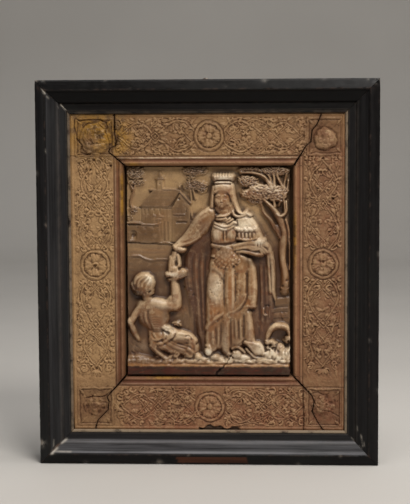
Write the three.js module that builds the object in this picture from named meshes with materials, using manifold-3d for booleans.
// Framed relief plaque: a small alabaster relief panel in a border of four
// moulded strips, set in a mitred frame of blackened wood, with a thin
// backboard and a wire hanging loop on the back.
//
// Units are millimetres. X is to the right, +Z is up, and the carved side
// faces -Y. The origin is at the middle of the underside's bounding box, on
// the surface that the frame stands on. Lengths below are given from the
// plaque's centre (x, z) and from the foremost edge of the frame (depth d).

import * as THREE from 'three';
import { mergeVertices } from 'three/addons/utils/BufferGeometryUtils.js';
import Module from 'manifold-3d';

const wasm = await Module();
wasm.setup();

// ---------------------------------------------------------------- sizes
const FRAME_W = 206; // outside width
const FRAME_H = 233; // outside height
const FRAME_D = 28; // depth of the wooden rails
const GAP = 0.3; // clearance between pieces

const REBATE = 16.8; // from the frame's outside in to the rebate wall
const SIGHT = 20.4; // from the frame's outside in to the tip of the lip
const LIP_BACK = 7.0; // depth of the lip's underside

const BORDER_OUT_X = FRAME_W / 2 - REBATE - 0.4; // half width of the border
const BORDER_OUT_Z = FRAME_H / 2 - REBATE - 0.4; // half height of the border
const BORDER_FACE = 7.3; // depth of the border's flat face
const BORDER_BACK = 19.6;
const OPENING = { x0: -50.5, x1: 51.3, z0: -63.1, z1: 64.6 };

const PANEL = { x0: -49.8, x1: 50.0, z0: -62.3, z1: 64.1 };
const PANEL_GROUND = 13.6; // depth of the relief's background
const PANEL_BACK = 19.7;
const RELIEF_GAIN = 1.12; // modelled heights are multiplied by this
const RELIEF_GRID = 64; // steps across the panel's surface, a power of two
const RELIEF_TOLERANCE = 0.38; // faceted surface stays this near the form

const BOARD_FRONT = 20.0;
const BOARD_BACK = 25.0;

const LOOP_X = -1.8; // the hanging loop stands a little left of the middle
const LOOP_TOP = 118.0;
const LOOP_WIRE = 1.4; // wire diameter
const LOOP_HALF_W = 2.0; // half width along the wire's centre line
const LOOP_BOTTOM = 108.0;
const PLATE = { w: 7.0, h: 11.0, t: 0.9, top: 114.5 };

const DEPTH_MID = (FRAME_D + GAP + LOOP_WIRE) / 2;

// ------------------------------------------------------------ materials
const material = (color, roughness, metalness = 0) =>
  new THREE.MeshStandardMaterial({ color, roughness, metalness });
const BLACK_WOOD = material(0x241f20, 0.45);
const GILT_PASTE = material(0x7d6246, 0.55);
const ALABASTER = material(0x8e7353, 0.5);
const PLAIN_WOOD = material(0x6e5236, 0.8);
const IRON = material(0x5a544c, 0.55, 0.9);

// -------------------------------------------------------- mesh helpers
function geometryOf(positions, index) {
  const g = new THREE.BufferGeometry();
  g.setAttribute('position', new THREE.Float32BufferAttribute(positions, 3));
  g.setIndex(index);
  return outward(g);
}

function outward(g) {
  const p = g.attributes.position;
  const ix = g.index.array;
  let volume = 0;
  const a = new THREE.Vector3();
  const b = new THREE.Vector3();
  const c = new THREE.Vector3();
  for (let i = 0; i < ix.length; i += 3) {
    a.fromBufferAttribute(p, ix[i]);
    b.fromBufferAttribute(p, ix[i + 1]);
    c.fromBufferAttribute(p, ix[i + 2]);
    volume += a.dot(b.cross(c));
  }
  if (volume < 0) {
    for (let i = 0; i < ix.length; i += 3) {
      const t = ix[i + 1];
      ix[i + 1] = ix[i + 2];
      ix[i + 2] = t;
    }
  }
  return g;
}

function solid(geometry) {
  const g = geometry.clone();
  for (const name of Object.keys(g.attributes)) {
    if (name !== 'position') g.deleteAttribute(name);
  }
  const m = outward(mergeVertices(g, 1e-4));
  return new wasm.Manifold(
    new wasm.Mesh({
      numProp: 3,
      vertProperties: new Float32Array(m.attributes.position.array),
      triVerts: new Uint32Array(m.index.array),
    })
  );
}

function geometryFrom(manifold) {
  const m = manifold.getMesh();
  const n = m.vertProperties.length / m.numProp;
  const positions = [];
  for (let i = 0; i < n; i++) {
    positions.push(
      m.vertProperties[i * m.numProp],
      m.vertProperties[i * m.numProp + 1],
      m.vertProperties[i * m.numProp + 2]
    );
  }
  return geometryOf(positions, Array.from(m.triVerts));
}

// A closed moulding that runs round a rectangle. Each loop is one rectangle
// of the profile: its edges and its depth.
function rectangularMoulding(loops) {
  const positions = [];
  const index = [];
  for (const l of loops) {
    positions.push(l.x0, l.d, l.z0, l.x1, l.d, l.z0, l.x1, l.d, l.z1, l.x0, l.d, l.z1);
  }
  const n = loops.length;
  for (let i = 0; i < n; i++) {
    const j = (i + 1) % n;
    for (let k = 0; k < 4; k++) {
      const m = (k + 1) % 4;
      index.push(4 * i + k, 4 * i + m, 4 * j + m, 4 * i + k, 4 * j + m, 4 * j + k);
    }
  }
  return geometryOf(positions, index);
}

const around = (r, out, d) => ({
  x0: r.x0 - out, x1: r.x1 + out, z0: r.z0 - out, z1: r.z1 + out, d,
});

// A straight-sided block over an outline in x and z, from depth a to depth b.
function block(outline, a, b) {
  const shape = new THREE.Shape(outline.map(([x, z]) => new THREE.Vector2(x, z)));
  const g = new THREE.ExtrudeGeometry(shape, { depth: b - a, bevelEnabled: false });
  const p = g.attributes.position;
  for (let i = 0; i < p.count; i++) p.setXYZ(i, p.getX(i), p.getZ(i) + a, p.getY(i));
  return solid(g);
}

// ------------------------------------------------------------- the frame
const OUTSIDE = { x0: -FRAME_W / 2, x1: FRAME_W / 2, z0: -FRAME_H / 2, z1: FRAME_H / 2 };

// Distance in from the outside, and depth: back, outer wall, sloping outer
// band, crest, hollow moulding, flat inner band, rounded lip, rebate.
const RAIL_PROFILE = [
  [0, FRAME_D], [0, 2.6], [0.6, 1.8], [5.3, 0.2], [6.0, 0], [6.7, 0.3],
  [7.5, 1.2], [8.6, 1.9], [10.6, 2.5], [12.4, 3.1], [13.5, 3.9], [14.2, 5.0],
  [18.4, 5.3], [18.7, 5.7], [19.1, 5.2], [19.9, 5.3], [SIGHT, 6.0],
  [SIGHT, LIP_BACK], [REBATE, LIP_BACK], [REBATE, FRAME_D],
];

const railRing = solid(
  rectangularMoulding(RAIL_PROFILE.map(([inward, d]) => around(OUTSIDE, -inward, d)))
);

// One rail is the ring's quarter between two mitre cuts.
function rail(side) {
  const over = 6;
  const deep = 40;
  const cut = GAP / Math.SQRT2;
  const hx = FRAME_W / 2;
  const hz = FRAME_H / 2;
  const across = side === 'top' || side === 'bottom';
  const sign = side === 'top' || side === 'right' ? 1 : -1;
  const [along, out] = across ? [hx, hz] : [hz, hx];
  const outline = [
    [-(along + over - cut), out + over], [along + over - cut, out + over],
    [along - deep - cut, out - deep], [-(along - deep - cut), out - deep],
  ].map(([t, s]) => (across ? [t, sign * s] : [sign * s, t]));
  return geometryFrom(railRing.intersect(block(outline, -2, FRAME_D + 2)));
}

// ------------------------------------------------------------ the border
const BORDER_OUTSIDE = {
  x0: -BORDER_OUT_X, x1: BORDER_OUT_X, z0: -BORDER_OUT_Z, z1: BORDER_OUT_Z,
};

const borderRing = solid(
  rectangularMoulding([
    around(OPENING, 0, 11.0), around(OPENING, 0.5, 9.8), around(OPENING, 2.4, 7.8),
    around(OPENING, 3.0, 7.5), around(OPENING, 3.5, 7.7), around(OPENING, 4.6, 8.5),
    around(OPENING, 5.2, 8.5), around(OPENING, 5.8, BORDER_FACE),
    around(BORDER_OUTSIDE, -5.2, BORDER_FACE), around(BORDER_OUTSIDE, -4.6, 6.95),
    around(BORDER_OUTSIDE, -4.0, 6.95), around(BORDER_OUTSIDE, -3.5, BORDER_FACE),
    around(BORDER_OUTSIDE, 0, BORDER_FACE), around(BORDER_OUTSIDE, 0, BORDER_BACK),
    around(OPENING, 0, BORDER_BACK),
  ])
);

// A carved rosette: rings round a middle, each with its radius, its height
// above the border's face, and how much both swell and sink from leaf to leaf.
function rosette([x, z], top, rings, leaves, spokes, turn = 0) {
  const sunk = -0.5;
  const all = [...rings, [rings.at(-1)[0], sunk, rings.at(-1)[2], 0]];
  const positions = [x, BORDER_FACE - top, z];
  const index = [];
  for (const [radius, height, bulge = 0, dip = 0] of all) {
    for (let i = 0; i < spokes; i++) {
      const a = (i / spokes) * 2 * Math.PI;
      const wave = Math.cos(leaves * a);
      const r = radius * (1 + bulge * wave);
      positions.push(
        x + r * Math.cos(a + turn), BORDER_FACE - height * (1 + dip * wave), z + r * Math.sin(a + turn)
      );
    }
  }
  const last = all.length - 1;
  const middle = positions.length / 3;
  positions.push(x, BORDER_FACE - sunk, z);
  const at = (ring, i) => 1 + ring * spokes + (i % spokes);
  for (let i = 0; i < spokes; i++) {
    index.push(0, at(0, i), at(0, i + 1));
    for (let ring = 0; ring < last; ring++) {
      index.push(at(ring, i), at(ring + 1, i), at(ring + 1, i + 1));
      index.push(at(ring, i), at(ring + 1, i + 1), at(ring, i + 1));
    }
    index.push(at(last, i), middle, at(last, i + 1));
  }
  return solid(geometryOf(positions, index));
}

// Round medallions in the middle of each strip: a boss, six petals and a ring.
const MEDALLION = [
  [1.7, 0.95], [2.2, 0.25], [4.1, 0.45, 0, 0.7], [6.4, 0.15], [7.5, 0.1], [8.0, 0.7], [8.7, 0.7], [9.1, 0.02],
];
const MEDALLIONS = [[1.0, 82.5], [-68.4, 4.9], [69.5, 5.5], [1.0, -82.1]];

// Bosses on the four corner blocks: a round one, a leafy mask, and two worn
// four-leaved ones.
const ROUND_BOSS = [[2.6, 1.5], [4.6, 1.1, 0, 0.1], [6.6, 0.8, 0.04, 0.3], [8.2, 0.4, 0.08, 0.3], [8.8, 0.02, 0.1]];
const MASK_BOSS = [[2.2, 1.9], [3.8, 1.4, 0, 0.1], [4.6, 0.6], [6.0, 0.8, 0.05, 0.4], [7.2, 0.02, 0.1]];
const LEAF_BOSS = [[1.6, 1.1], [2.4, 0.5], [4.6, 0.5, 0.2, 0.6], [6.6, 0.02, 0.3]];

let ornament = borderRing;
for (const at of MEDALLIONS) ornament = ornament.add(rosette(at, 1.2, MEDALLION, 6, 24, Math.PI / 6));
ornament = ornament
  .add(rosette([-67.5, 81.2], 1.7, ROUND_BOSS, 8, 24))
  .add(rosette([70.8, 81.7], 2.1, MASK_BOSS, 6, 18, Math.PI / 6))
  .add(rosette([-69.5, -81.2], 1.3, LEAF_BOSS, 4, 16, Math.PI / 4))
  .add(rosette([69.7, -81.2], 1.3, LEAF_BOSS, 4, 16, Math.PI / 4));

// The joints between the strips. They leave the corners of the opening on
// the mitre and then wander, as the cracks in the border do.
const JOINTS = {
  tl: [[-42, 57], [-48.9, 64.3], [-59.4, 73.3], [-58.5, 75.7], [-55.2, 76.9], [-54.8, 79.9], [-55.7, 84.7], [-55.6, 120]],
  tr: [[45, 57], [51.5, 63.9], [59.2, 76.4], [62.1, 78.8], [62.8, 85.9], [65.7, 89.2], [68.1, 94.8], [69, 120]],
  bl: [[-43, -56], [-50.3, -63.2], [-62.1, -76.2], [-60.9, -79.3], [-61.6, -84.3], [-67.8, -90.6], [-69.1, -94.9], [-69.6, -120]],
  br: [[44, -55], [50.9, -62.2], [63.0, -75.0], [64.3, -78.7], [63.1, -84.9], [66.1, -90.4], [69.7, -96.0], [70.5, -120]],
};

// A line moved sideways, to the left of its direction when by is positive.
function beside(line, by) {
  return line.map((p, i) => {
    const a = line[Math.max(i - 1, 0)];
    const b = line[Math.min(i + 1, line.length - 1)];
    const n = new THREE.Vector2(-(b[1] - a[1]), b[0] - a[0]).normalize();
    return [p[0] + n.x * by, p[1] + n.y * by];
  });
}

function strip(outline) {
  return geometryFrom(ornament.intersect(block(outline, 2, BORDER_BACK + 2)));
}

const half = 0.6 * GAP;
const STRIPS = {
  border_top: [...beside(JOINTS.tl, -half), ...beside(JOINTS.tr, half).reverse()],
  border_left: [...beside(JOINTS.tl, half), [-110, 120], [-110, -120], ...beside(JOINTS.bl, -half).reverse()],
  border_bottom: [...beside(JOINTS.bl, half), ...beside(JOINTS.br, -half).reverse()],
  border_right: [...beside(JOINTS.br, half), [110, -120], [110, 120], ...beside(JOINTS.tr, -half).reverse()],
};

// ------------------------------------------------------------ the relief
// The relief is a height over the panel's ground, in panel millimetres: u to
// the right and v up from the panel's lower left corner. Four kinds of form
// build it. A mass is a raised area inside an outline, a limb is a round bar
// through a few stations [u, v, radius, height], a dome is an oval swelling,
// and a cut lowers what is under it. Forms blend into each other a little.
const PANEL_W = PANEL.x1 - PANEL.x0;
const PANEL_H = PANEL.z1 - PANEL.z0;
const BLEND = 0.5;
const SIDE_SLOPE = 1.7;
const TAU = Math.PI * 2;

const clamp = (v, a, b) => Math.min(Math.max(v, a), b);

function blend(a, b) {
  const t = clamp(0.5 + (0.5 * (b - a)) / BLEND, 0, 1);
  return a * (1 - t) + b * t + BLEND * t * (1 - t);
}

const forms = [];
const raise = (f) => forms.push((u, v, h) => blend(h, f(u, v)));
const roundOff = (q) => (1 - Math.sqrt(1 - (0.97 * q) ** 2)) / (1 - Math.sqrt(1 - 0.97 ** 2));

function mass(height, edge, drop, outline) {
  raise((u, v) => {
    let best = Infinity;
    let inside = false;
    for (let i = 0; i < outline.length; i++) {
      const [ax, az] = outline[i];
      const [bx, bz] = outline[(i + 1) % outline.length];
      const dx = bx - ax;
      const dz = bz - az;
      const t = clamp(((u - ax) * dx + (v - az) * dz) / (dx * dx + dz * dz), 0, 1);
      best = Math.min(best, Math.hypot(u - ax - t * dx, v - az - t * dz));
      if (az > v !== bz > v && u < ((bx - ax) * (v - az)) / (bz - az) + ax) inside = !inside;
    }
    if (!inside) return height - drop - best * SIDE_SLOPE;
    return height - drop * roundOff(clamp(1 - best / edge, 0, 1));
  });
}

function limb(...stations) {
  raise((u, v) => {
    let top = -9;
    for (let i = 0; i + 1 < stations.length; i++) {
      const [ax, az, ra, ha] = stations[i];
      const [bx, bz, rb, hb] = stations[i + 1];
      const dx = bx - ax;
      const dz = bz - az;
      const t = clamp(((u - ax) * dx + (v - az) * dz) / (dx * dx + dz * dz), 0, 1);
      const far = Math.hypot(u - ax - t * dx, v - az - t * dz);
      const r = ra + (rb - ra) * t;
      const q = clamp(far / r, 0, 0.94);
      const h = ha + (hb - ha) * t - r * (1 - Math.sqrt(1 - q * q));
      top = Math.max(top, h - Math.max(far - 0.94 * r, 0) * SIDE_SLOPE);
    }
    return top;
  });
}

function dome(cu, cv, ru, rv, foot, top, turn = 0) {
  const c = Math.cos(turn);
  const s = Math.sin(turn);
  raise((u, v) => {
    const a = ((u - cu) * c + (v - cv) * s) / ru;
    const b = (-(u - cu) * s + (v - cv) * c) / rv;
    const q = Math.hypot(a, b);
    const h = top - (top - foot) * roundOff(Math.min(q, 1));
    return h - Math.max(q - 1, 0) * Math.min(ru, rv) * SIDE_SLOPE;
  });
}

function cut(cu, cv, ru, rv, floor) {
  forms.push((u, v, h) => {
    const q = Math.hypot((u - cu) / ru, (v - cv) / rv);
    return q < 1 ? Math.min(h, floor + (h - floor) * q * q) : h;
  });
}

// ---- hills, near bank and the ground on the right
mass(0.6, 0.8, 0.5, [[-1.3, 80.1], [13.2, 79.8], [29.7, 79.6], [32.1, 65.6], [-1.3, 65.6]]);
mass(1.1, 0.9, 0.6, [[-1.3, 71.4], [5.6, 71.8], [14.5, 69.5], [32.1, 70.7], [35.5, 19.3], [-1.3, 19.3]]);
mass(0.9, 1.2, 0.6, [[81.6, 45], [90.2, 46.3], [102.1, 47.1], [102.1, 10.7], [81.6, 10.7]]);

// ---- church: nave, roof, gable front, steeple and spire
mass(0.8, 0.3, 0.5, [[9.1, 102.6], [28.3, 102.6], [28.3, 80.5], [9.1, 80.5]]);
mass(1.2, 0.5, 0.6, [[8.1, 102.2], [16.5, 112.1], [33.1, 112.1], [26.8, 102.2]]);
mass(1.1, 0.3, 0.5, [[27.9, 101.5], [32.9, 110.5], [38.9, 103.1], [38.9, 80.5], [27.9, 80.5]]);
limb([32.9, 111, 0.5, 1.75], [39.7, 102.9, 0.5, 1.6]);
limb([32.9, 111, 0.4, 1.6], [27.4, 102.4, 0.4, 1.5]);
limb([14.3, 112.3, 0.4, 1.45], [32.7, 112.1, 0.4, 1.5]);
mass(1.1, 0.4, 0.6, [[18.9, 112.3], [19.1, 118.9], [22.5, 118.9], [22.6, 112.3]]);
mass(1.3, 1.2, 1.2, [[18, 118.7], [20.7, 123.5], [23.5, 118.7]]);

// ---- gate house with its ledges and arch, and the terrace below it
mass(1.3, 0.4, 0.7, [[-1.3, 91.6], [21.1, 91.3], [22.1, 80.1], [-1.3, 80.1]]);
limb([-1.3, 92.3, 0.6, 1.9], [9, 92, 0.5, 1.8]);
limb([9, 91.1, 0.4, 1.6], [21.8, 91.4, 0.4, 1.6]);
limb([-1.3, 81.1, 0.4, 1.6], [11.5, 80.1, 0.3, 1.5], [29.7, 79.3, 0.3, 1.5]);
cut(4.4, 85.6, 2.6, 2.6, 0.3);

// ---- trees behind the church and beside the figure
limb([2.8, 105, 0.8, 1.0], [4, 110.1, 0.7, 1.1], [2.8, 116.5, 0.4, 0.9]);
dome(6, 122.5, 6.4, 3.6, 0.5, 1.5);
dome(6.4, 117, 5.8, 1.9, 0.4, 1.2);
dome(42.7, 123.7, 8.6, 2.9, 0.5, 1.6);
dome(42.3, 114.8, 7.7, 4.1, 0.5, 1.8, -0.12);
limb([40.6, 105, 0.6, 1.0], [41, 111.8, 0.6, 1.2]);

// ---- big tree on the right: trunk, forks, thin trunk and canopy
limb([96, 51, 4.5, 2.6], [95.3, 62.1, 4.1, 2.8], [94.4, 79.3, 3.3, 3.2], [96.3, 87.8, 2.9, 3.3], [96, 93.8, 2.6, 3.3], [93.6, 97.1, 1.9, 3.2]);
limb([94, 96.4, 1.7, 3.2], [90, 99.8, 1.4, 3.0], [86.9, 104.1, 1.1, 2.8], [85.5, 108, 0.9, 2.6]);
limb([95.7, 96, 1.5, 3.0], [98, 99, 1.2, 2.9], [98, 104.1, 1, 2.8]);
limb([94.3, 82.7, 1.2, 2.0], [91.2, 88.7, 1.3, 2.2], [87.3, 96.4, 1.2, 2.3], [83.2, 105.8, 0.8, 2.1]);
limb([88.9, 109.3, 0.9, 2.4], [88.6, 117, 0.9, 2.4], [86.8, 121.3, 0.7, 2.2]);
limb([97.9, 108.4, 0.9, 2.6], [94.4, 117, 0.9, 2.5], [95.3, 122.1, 0.7, 2.3]);
limb([73.1, 124, 0.6, 2.6], [80.8, 122.1, 0.7, 2.7], [85.9, 117.8, 0.7, 2.8], [88, 113.5, 0.7, 2.9]);
for (const [cu, cv, w, h, top, clumps] of [
  [85, 110.8, 15.4, 3.8, 3.6, 6], [76.1, 117.7, 7, 3.3, 2.8, 3], [85, 123.7, 16.3, 2.9, 2.6, 6],
]) {
  for (let i = 0; i < clumps; i++) {
    const t = (i + 0.5) / clumps - 0.5;
    dome(cu + 2 * t * (w - h * 0.7), cv + (i % 2 ? 0.5 : -0.5) + 1.2 * t, h, h * 0.82, 0.8, top - 0.3 * (i % 2));
  }
}

// ---- cloak behind the standing figure
mass(2.5, 2, 1.4, [
  [50.9, 102.4], [46.2, 89.5], [38.9, 79.3], [34.8, 71.6], [34.6, 53.6], [38.9, 34.7], [44, 19.3],
  [81.6, 18.4], [89.3, 27.8], [90.9, 45], [88.9, 71.6], [85, 79.3], [76.5, 94.7],
]);
limb([86.9, 74.1, 1.7, 4.9], [87.6, 67.3, 1.6, 4.6], [88.3, 57.8, 1.5, 4.3], [90.5, 46.3, 0.8, 3.4]);
for (let i = 0; i < 3; i++) {
  const u = 38.6 + 3.6 * i;
  limb([u, 74 - 2 * i, 1.2, 3.3], [u + 0.6, 50, 1.4, 3.4], [u + 3.6, 24, 1.3, 3.2]);
}

// ---- dress: its mass, the forward knee and the long folds
mass(5.1, 4.2, 3.4, [
  [53.2, 82.7], [51.7, 77.5], [50.9, 65.6], [48.5, 55.3], [47.3, 33.8], [47.8, 16.7], [55.1, 13.1],
  [64.5, 14], [73.5, 19.3], [78.9, 36.4], [79.5, 46.7], [77.5, 60.4], [75.2, 70.7], [70.7, 75.8], [67.8, 82.7],
]);
mass(5.6, 3.4, 2.6, [[52.9, 92.5], [51.7, 85], [53.2, 79.4], [67.8, 79.4], [68.8, 84.4], [68.8, 92.1], [61.1, 94.3]]);
for (const [u, v, top] of [[56, 85.7, 6.4], [63.8, 85.9, 6.3]]) dome(u, v, 3.8, 3.9, 4.6, top);
dome(53.9, 51, 5, 12.8, 4.2, 6.5);
limb([55.1, 63, 3.4, 5.4], [53.9, 51, 4.1, 6.3], [53.2, 37.3, 3.4, 5.6]);
for (const [u0, v0, u1, v1, r, h] of [
  [63.2, 63, 62.8, 37.3, 2.1, 6.4], [70.7, 65.6, 68.8, 39.8, 2.0, 5.8], [75.2, 67.3, 78, 41.1, 2.1, 5.9],
  [60.4, 33.8, 60.1, 14, 2.2, 5.7], [67.8, 34.7, 67.1, 15, 2.3, 5.2], [74.1, 36.4, 75.2, 19.5, 2.2, 5.1],
  [50.9, 29.6, 49.8, 15.9, 2.2, 4.6],
]) {
  limb([u0, v0, r * 0.85, h - 0.3], [(u0 + u1) / 2, (v0 + v1) / 2, r, h], [u1, v1, r, h - 0.3]);
}

// ---- round bunch gathered in front of the waist: lumps on a swelling
dome(60.9, 71.6, 7.9, 7.9, 4.6, 6.7);
for (let i = 1; i < 12; i++) {
  const a = i * 2.4;
  const r = 1.9 * Math.sqrt(i);
  dome(60.9 + r * Math.cos(a), 71.6 + r * Math.sin(a), 1.5, 1.5, 5.8, 7.2 - 0.02 * r * r);
}

// ---- left sleeve, arm and the bowl held out
mass(4.3, 3.4, 2.6, [
  [53.6, 102.2], [48.3, 101.1], [44, 98.3], [40.2, 93], [36.3, 87], [29, 77.7],
  [30.5, 75.8], [36.3, 76.5], [44, 80.1], [50, 85.3], [52.9, 90.4],
]);
limb([30.3, 77.4, 1.2, 4.6], [37.2, 78.2, 1.5, 4.9], [44, 81.7, 1.9, 5.2], [49.1, 86.1, 2.1, 5.3], [51.3, 92.1, 2.2, 5.2]);
dome(49.3, 96.4, 5.1, 5.7, 3.2, 5.4, 0.4);
limb([30.5, 76.9, 1.5, 5.2], [34.2, 75.7, 1.5, 5.3]);
limb([30.2, 74.6, 1.9, 4.8], [29.3, 69, 2.4, 4.8], [28.5, 64.7, 2.6, 4.6]);
limb([25.9, 60.2, 1.7, 5.4], [30.3, 60.8, 2.1, 5.8], [34.3, 61.6, 1.7, 5.6]);
limb([28.6, 57.8, 1.4, 4.8], [33.8, 58.9, 1.2, 4.8]);

// ---- veil, head, head-cloth, crown and collar
mass(4.8, 3, 2.4, [
  [52.1, 102.4], [52.2, 109.3], [52.7, 117], [55, 118.7], [63.7, 118.7], [66.1, 116.5],
  [67.3, 109.3], [68.5, 102.4], [70.5, 99.1], [64.5, 94.7], [55.1, 96.4],
]);
dome(58.3, 106.2, 5.3, 6.5, 4.6, 7.5);
limb([55.1, 114.4, 2.9, 6.9], [59, 115.3, 3.3, 7.3], [63.7, 114.4, 2.6, 6.8]);
limb([65, 113.5, 1.9, 6.3], [66.1, 107.5, 1.7, 6.3], [66.8, 102.4, 1.7, 6.0], [68.8, 98.8, 1.9, 5.6]);
limb([53.9, 118.7, 1.2, 6.8], [59.2, 119, 1.3, 7.3], [64.5, 118.7, 1.2, 6.8]);
for (let i = 0; i < 6; i++) {
  const t = i / 5 - 0.5;
  dome(59.1 + 11.0 * t, 121.4 - 0.6 * t * t, 1.15, 1.7, 5.6, 7.2 - 2.0 * t * t);
}
limb([59.6, 100.2, 3.8, 5.4], [59.6, 94.7, 4.3, 5.2]);
limb([55.1, 90.4, 1.4, 5.9], [59.4, 89, 1.5, 6.3], [64.5, 90.1, 1.4, 6.1], [67.8, 93, 1.2, 5.8]);

// ---- right shoulder, arm, hand and the tray of loaves
mass(5.2, 3.4, 2.8, [
  [64.5, 99.8], [70.5, 99.7], [75.6, 96.4], [78.6, 90.4], [85.9, 78.4], [86.8, 74.1],
  [81.6, 71.6], [73.1, 74.1], [68.8, 82.7], [67.5, 90.4],
]);
limb([65.6, 100.5, 1.2, 5.9], [68.8, 97.7, 1.4, 6.2], [73.5, 97.3, 1.2, 5.8]);
limb([73.5, 93.8, 3.9, 5.6], [77.4, 87.8, 3.4, 5.6], [82.1, 81.4, 3.1, 5.8]);
mass(6.6, 1.4, 1.6, [[67.8, 86.1], [78.9, 85.4], [79.2, 82.5], [68.8, 82.5]]);
for (let row = 0; row < 2; row++) {
  for (let i = 0; i < 4; i++) dome(69.3 + 2.9 * i + 0.4 * row, 88.6 - 3.6 * row, 1.6, 1.7, 6.0, 7.4 - 0.2 * row);
}
dome(80.1, 80.1, 3.3, 2.2, 5.6, 7.3, 0.1);
limb([81.6, 78, 2.6, 6.6], [74.8, 77.1, 2.6, 6.5], [68.8, 76.9, 1.9, 6.0]);
limb([65.8, 75.8, 1, 6.2], [70.5, 77.1, 1.2, 6.6], [75.6, 75, 1.5, 6.4], [80.3, 73.7, 1.7, 6.3], [85, 74.6, 1.9, 5.8]);
limb([84.2, 75.8, 2.2, 5.6], [86.8, 72.4, 1.9, 5.4]);

// ---- kneeling figure seen from behind
mass(4.6, 4, 3, [
  [7.7, 45], [17.5, 46.3], [23.5, 44.1], [25.6, 39.8], [24.4, 27.8], [20.9, 23.6], [14.5, 24.4], [9, 35.6],
]);
limb([9.8, 41.6, 3.1, 4.9], [16.7, 42.8, 3.6, 5.6], [21.8, 42, 3.1, 5.4]);
dome(9.8, 54.6, 6.7, 7.2, 3.6, 6.4);
for (let i = 0; i < 14; i++) {
  const a = i * 2.4;
  const r = 1.45 * Math.sqrt(i + 0.5);
  dome(9.8 + r * Math.cos(a), 55.4 + r * Math.sin(a), 1.5, 1.5, 5.0, 6.9 - 0.05 * r * r);
}
limb([10.7, 49.3, 3.1, 4.6], [12.4, 45, 3.4, 4.8]);
limb([20.5, 42, 3.3, 5.7], [26.1, 41.6, 2.7, 5.8], [30.2, 41.9, 2.4, 6.0]);
limb([30.2, 42.2, 2.3, 6.0], [30, 47.6, 2.1, 5.9], [29.7, 57.8, 1.3, 5.5]);
limb([9, 40.7, 2.4, 4.4], [4.7, 35.6, 2.1, 4.2], [1.8, 30.8, 2.1, 4.4]);
limb([1.8, 30.8, 2, 4.3], [4, 26.6, 1.7, 3.8], [6.2, 22.5, 1.5, 3.4]);
dome(21.8, 20.1, 9.4, 7.2, 3.6, 5.8, 0.1);
limb([21.8, 22.3, 5.3, 5.8], [30.3, 22.5, 4.5, 5.6], [38.9, 20.6, 3.8, 5.2]);
limb([38.9, 20.1, 3.3, 5.0], [32.9, 15.4, 2.9, 4.6], [24.4, 12.9, 2.4, 4.2]);
limb([16.2, 15.9, 2.7, 4.4], [20.9, 11.6, 2.4, 4.2], [24.8, 7.7, 1.5, 4.0]);
limb([36.3, 12.9, 2.1, 5.0], [38.9, 9, 1.7, 4.8]);

// ---- stones, feet, the arch of a culvert and the sill in front
mass(3.6, 2.6, 2.2, [
  [-2.1, 11.1], [7.3, 12.4], [25.2, 7.3], [40.6, 11.1], [61.1, 12.4], [85, 15], [102.1, 16.7], [102.1, 3.9], [-2.1, 3.9],
]);
dome(49.1, 12.9, 3.1, 2.7, 3.8, 6.6);
limb([74.4, 16.3, 2.6, 6.0], [78.2, 15.4, 2.9, 6.2], [81.6, 13.7, 2.1, 5.8]);
for (const [u, v, ru, rv, top] of [
  [44, 9.9, 4.1, 2.6, 5.6], [55.1, 9.7, 5.1, 2.4, 5.2], [67.8, 11.1, 3.8, 3.8, 6.2], [73.1, 9, 7.7, 2.9, 5.6],
]) dome(u, v, ru, rv, 3.2, top);
for (let i = 0; i < 6; i++) {
  const a0 = Math.PI * (1.08 - (i / 6) * 1.16);
  const a1 = Math.PI * (1.08 - ((i + 1) / 6) * 1.16);
  const at = (a) => [94.2 + 7.2 * Math.cos(a), 20.6 + 7.6 * Math.sin(a)];
  limb([...at(a0), 1.7, 3.7 + 0.9 * Math.sin(a0)], [...at(a1), 1.7, 3.7 + 0.9 * Math.sin(a1)]);
}
mass(4.9, 0.6, 0.6, [[-7.3, 5.4], [107.3, 5.4], [107.3, -6.4], [-7.3, -6.4]]);

function reliefDepth(u, v) {
  let h = 0;
  for (const f of forms) h = f(u, v, h);
  return PANEL_GROUND - RELIEF_GAIN * h;
}

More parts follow.
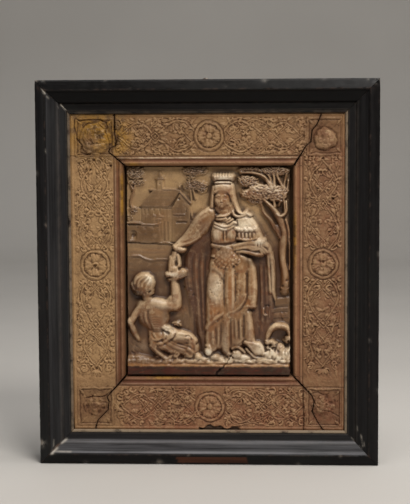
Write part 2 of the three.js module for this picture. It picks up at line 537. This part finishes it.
// The carved face is cut into right triangles. A triangle is halved as long
// as the form leaves its longest edge by more than the tolerance, and every
// neighbour is halved with it, so the surface has no cracks.
function reliefPanel() {
  const n = RELIEF_GRID;
  const size = n + 1;
  const depth = new Float64Array(size * size);
  for (let j = 0; j < size; j++) {
    for (let i = 0; i < size; i++) depth[j * size + i] = reliefDepth((i / n) * PANEL_W, (j / n) * PANEL_H);
  }
  const error = new Float64Array(size * size);
  // Smallest triangles first, so that a parent's error covers its children's.
  for (let level = 2 * Math.log2(n) - 1; level >= 0; level--) {
    const visit = (ax, ay, bx, by, cx, cy, depthLeft) => {
      const mx = (ax + bx) >> 1;
      const my = (ay + by) >> 1;
      if (depthLeft > 0) {
        visit(cx, cy, ax, ay, mx, my, depthLeft - 1);
        visit(bx, by, cx, cy, mx, my, depthLeft - 1);
        return;
      }
      const k = my * size + mx;
      const off = Math.abs((depth[ay * size + ax] + depth[by * size + bx]) / 2 - depth[k]);
      error[k] = Math.max(error[k], off);
      if (Math.abs(ax - cx) + Math.abs(ay - cy) > 1) {
        const l = ((ay + cy) >> 1) * size + ((ax + cx) >> 1);
        const r = ((by + cy) >> 1) * size + ((bx + cx) >> 1);
        error[k] = Math.max(error[k], error[l], error[r]);
      }
    };
    visit(0, 0, n, n, n, 0, level);
    visit(n, n, 0, 0, 0, n, level);
  }

  const number = new Map();
  const nodes = [];
  const index = [];
  const vertex = (i, j) => {
    const key = j * size + i;
    if (!number.has(key)) {
      number.set(key, nodes.length);
      nodes.push([i, j]);
    }
    return number.get(key);
  };
  const split = (ax, ay, bx, by, cx, cy) => {
    const mx = (ax + bx) >> 1;
    const my = (ay + by) >> 1;
    if (Math.abs(ax - cx) + Math.abs(ay - cy) > 1 && error[my * size + mx] > RELIEF_TOLERANCE) {
      split(cx, cy, ax, ay, mx, my);
      split(bx, by, cx, cy, mx, my);
    } else {
      index.push(vertex(ax, ay), vertex(bx, by), vertex(cx, cy));
    }
  };
  split(0, 0, n, n, n, 0);
  split(n, n, 0, 0, 0, n);

  const at = (i, j, d) => [PANEL.x0 + (i / n) * PANEL_W, d, PANEL.z0 + (j / n) * PANEL_H];
  const positions = nodes.flatMap(([i, j]) => at(i, j, depth[j * size + i]));

  // The edge, counter-clockwise from the lower left corner.
  const edge = [];
  const side = (test, order) =>
    nodes.map((p, k) => ({ p, k })).filter(({ p }) => test(p)).sort((a, b) => order(a.p) - order(b.p)).slice(0, -1)
      .forEach(({ k }) => edge.push(k));
  side(([, j]) => j === 0, ([i]) => i);
  side(([i]) => i === n, ([, j]) => j);
  side(([, j]) => j === n, ([i]) => -i);
  side(([i]) => i === 0, ([, j]) => -j);

  const back = nodes.length;
  for (const k of edge) positions.push(...at(...nodes[k], PANEL_BACK));
  const middle = back + edge.length;
  positions.push(...at(n / 2, n / 2, PANEL_BACK));
  // Which way the front triangles turn decides the way of the walls.
  const [a, b, c] = [0, 1, 2].map((q) => nodes[index[q]]);
  const turn = Math.sign((b[0] - a[0]) * (c[1] - a[1]) - (b[1] - a[1]) * (c[0] - a[0]));
  const push = (p, q, r) => (turn > 0 ? index.push(p, q, r) : index.push(p, r, q));
  for (let e = 0; e < edge.length; e++) {
    const f = (e + 1) % edge.length;
    push(edge[f], edge[e], back + e);
    push(edge[f], back + e, back + f);
    push(back + f, back + e, middle);
  }
  return geometryOf(positions, index);
}

// ------------------------------------------------- backboard and loop
function backboard() {
  const w = 2 * BORDER_OUT_X;
  const h = 2 * BORDER_OUT_Z;
  const g = new THREE.BoxGeometry(w, BOARD_BACK - BOARD_FRONT, h);
  g.translate(0, (BOARD_FRONT + BOARD_BACK) / 2, 0);
  return geometryFrom(solid(g));
}

// A wire link of straight sides and round ends, standing up from a plate
// that is held by two round-headed pins.
function hangingLoop() {
  const d0 = FRAME_D + GAP;
  const r = LOOP_WIRE / 2;
  const arcTop = LOOP_TOP - r - LOOP_HALF_W;
  const arcBottom = LOOP_BOTTOM + r + LOOP_HALF_W;
  const arcSteps = 8;
  const sides = 8;
  const path = [];
  for (const [zc, start] of [[arcTop, 0], [arcBottom, Math.PI]]) {
    for (let i = 0; i <= arcSteps; i++) {
      const a = start + (i / arcSteps) * Math.PI;
      path.push({ x: LOOP_X + LOOP_HALF_W * Math.cos(a), z: zc + LOOP_HALF_W * Math.sin(a), a });
    }
  }
  const positions = [];
  const index = [];
  for (const p of path) {
    for (let k = 0; k < sides; k++) {
      const b = (k / sides) * TAU;
      positions.push(p.x + r * Math.cos(b) * Math.cos(p.a), d0 + r + r * Math.sin(b), p.z + r * Math.cos(b) * Math.sin(p.a));
    }
  }
  for (let i = 0; i < path.length; i++) {
    const j = (i + 1) % path.length;
    for (let k = 0; k < sides; k++) {
      const m = (k + 1) % sides;
      index.push(i * sides + k, i * sides + m, j * sides + m, i * sides + k, j * sides + m, j * sides + k);
    }
  }
  const plateBox = new THREE.BoxGeometry(PLATE.w, PLATE.t, PLATE.h);
  plateBox.translate(LOOP_X, d0 + PLATE.t / 2, PLATE.top - PLATE.h / 2);
  let m = solid(geometryOf(positions, index)).add(solid(plateBox));
  for (const s of [-1, 1]) {
    const head = new THREE.CylinderGeometry(0.8, 1.0, 0.5, 10);
    head.translate(LOOP_X + s * 0.5 * (PLATE.w - 2.4), d0 + PLATE.t + 0.2, PLATE.top - PLATE.h + 1.8);
    m = m.add(solid(head));
  }
  return geometryFrom(m);
}

// ---------------------------------------------------------- the object
const plaque = new THREE.Group();
plaque.name = 'framed_relief_plaque';

function piece(name, geometry, mat) {
  geometry.computeVertexNormals();
  const mesh = new THREE.Mesh(geometry, mat);
  mesh.name = name;
  mesh.position.set(0, -DEPTH_MID, FRAME_H / 2);
  plaque.add(mesh);
}

for (const side of ['top', 'bottom', 'left', 'right']) piece(`frame_rail_${side}`, rail(side), BLACK_WOOD);
for (const [name, outline] of Object.entries(STRIPS)) piece(name, strip(outline), GILT_PASTE);
piece('relief_panel', reliefPanel(), ALABASTER);
piece('backboard', backboard(), PLAIN_WOOD);
piece('hanging_loop', hangingLoop(), IRON);

export default plaque;
